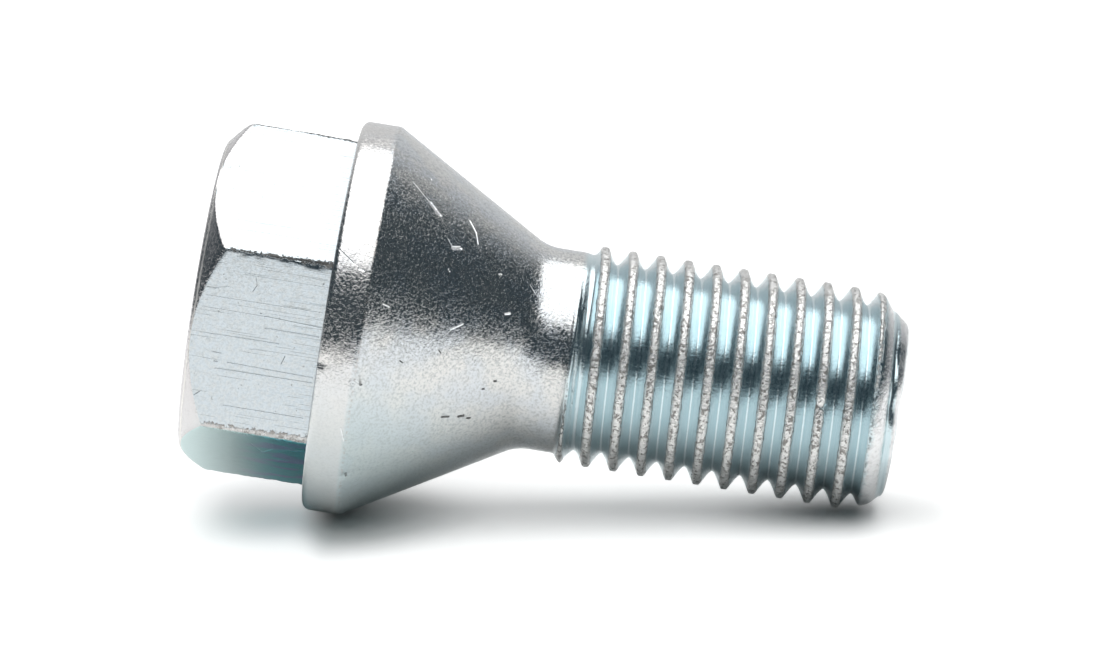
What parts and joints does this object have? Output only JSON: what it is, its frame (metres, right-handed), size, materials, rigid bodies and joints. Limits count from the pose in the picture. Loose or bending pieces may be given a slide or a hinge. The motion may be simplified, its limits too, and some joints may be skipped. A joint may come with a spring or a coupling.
{
  "type": "wheel bolt",
  "caption": "Zinc plated wheel bolt with a hexagon head, a round collar, a conical seat and a right-hand thread, forged in one piece.",
  "frame": {"origin": "centre of the hexagon head's flat end face, on which the bolt stands", "axes": "+Z along the bolt's own axis, from the head to the tip of the thread; +X towards a corner of the hexagon"},
  "size_m": [0.021, 0.021, 0.0375],
  "materials": {
    "zinc_plated_steel": "bright blue-white zinc plate"
  },
  "bodies": {
    "root": {"wheel_bolt": "zinc_plated_steel"}
  },
  "joints": []
}
